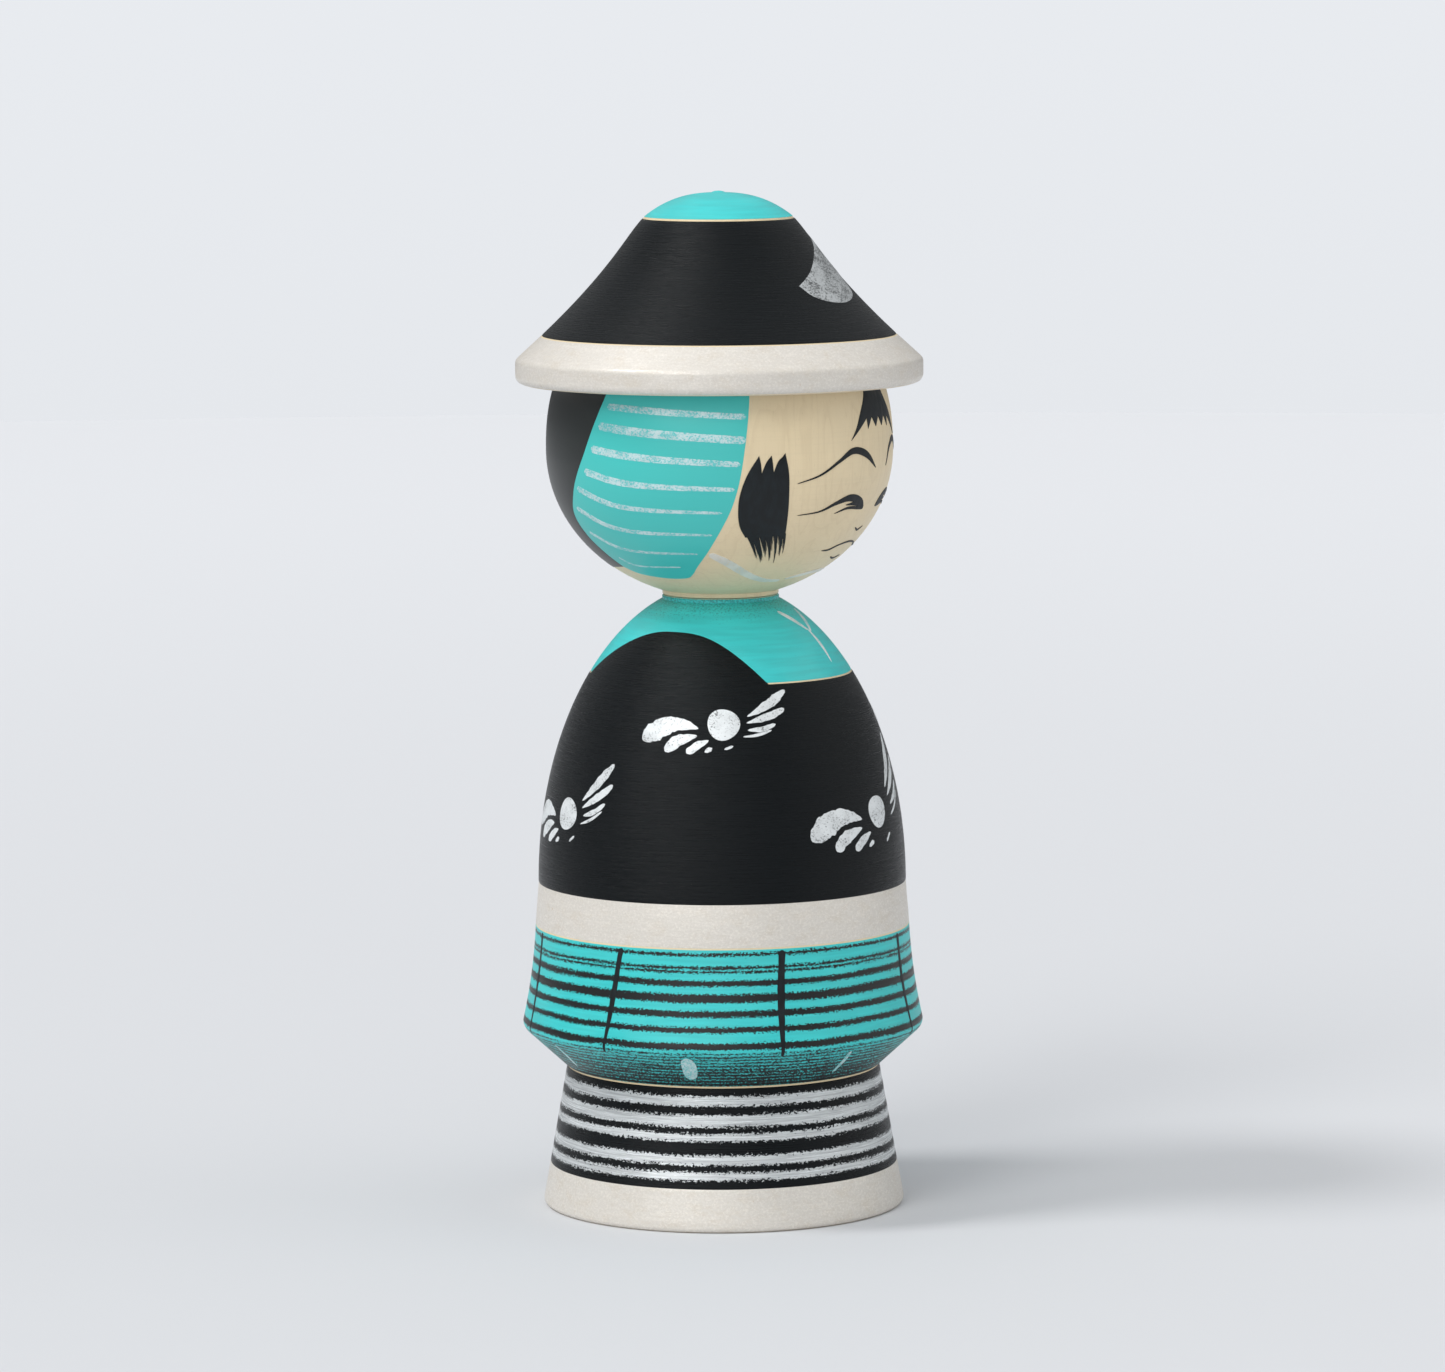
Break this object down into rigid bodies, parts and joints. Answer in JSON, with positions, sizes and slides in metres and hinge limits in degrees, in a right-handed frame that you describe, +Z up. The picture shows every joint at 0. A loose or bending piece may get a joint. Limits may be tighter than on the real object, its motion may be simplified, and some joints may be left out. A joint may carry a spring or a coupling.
{
  "type": "kokeshi doll",
  "caption": "Turned and hand-painted wooden kokeshi doll: a cloaked figure in a lift-off conical hat, with a round head that turns on the body.",
  "frame": {"origin": "centre of the foot's underside, where the turning axis meets the surface it stands on", "axes": "+Z up the turning axis, -Y the way the doll faces, +X to the doll's left hand"},
  "size_m": [0.0608, 0.0608, 0.1523],
  "materials": {
    "bare_wood": "satin",
    "turquoise_paint": "satin",
    "black_paint": "satin",
    "pearl_paint": "satin",
    "silver_paint": "satin"
  },
  "bodies": {
    "body": {"body": "turquoise_paint"},
    "head": {"head": "bare_wood"},
    "hat": {"hat": "black_paint"}
  },
  "joints": [
    {"name": "head_turn", "type": "hinge", "parent": "body", "child": "head", "pos_m": [0, 0, 0.09237], "axis": [0, 0, 1], "continuous": true},
    {"name": "hat_lift", "type": "slide", "parent": "head", "child": "hat", "axis": [0, 0, 1], "range_m": [0, 0.03]}
  ]
}
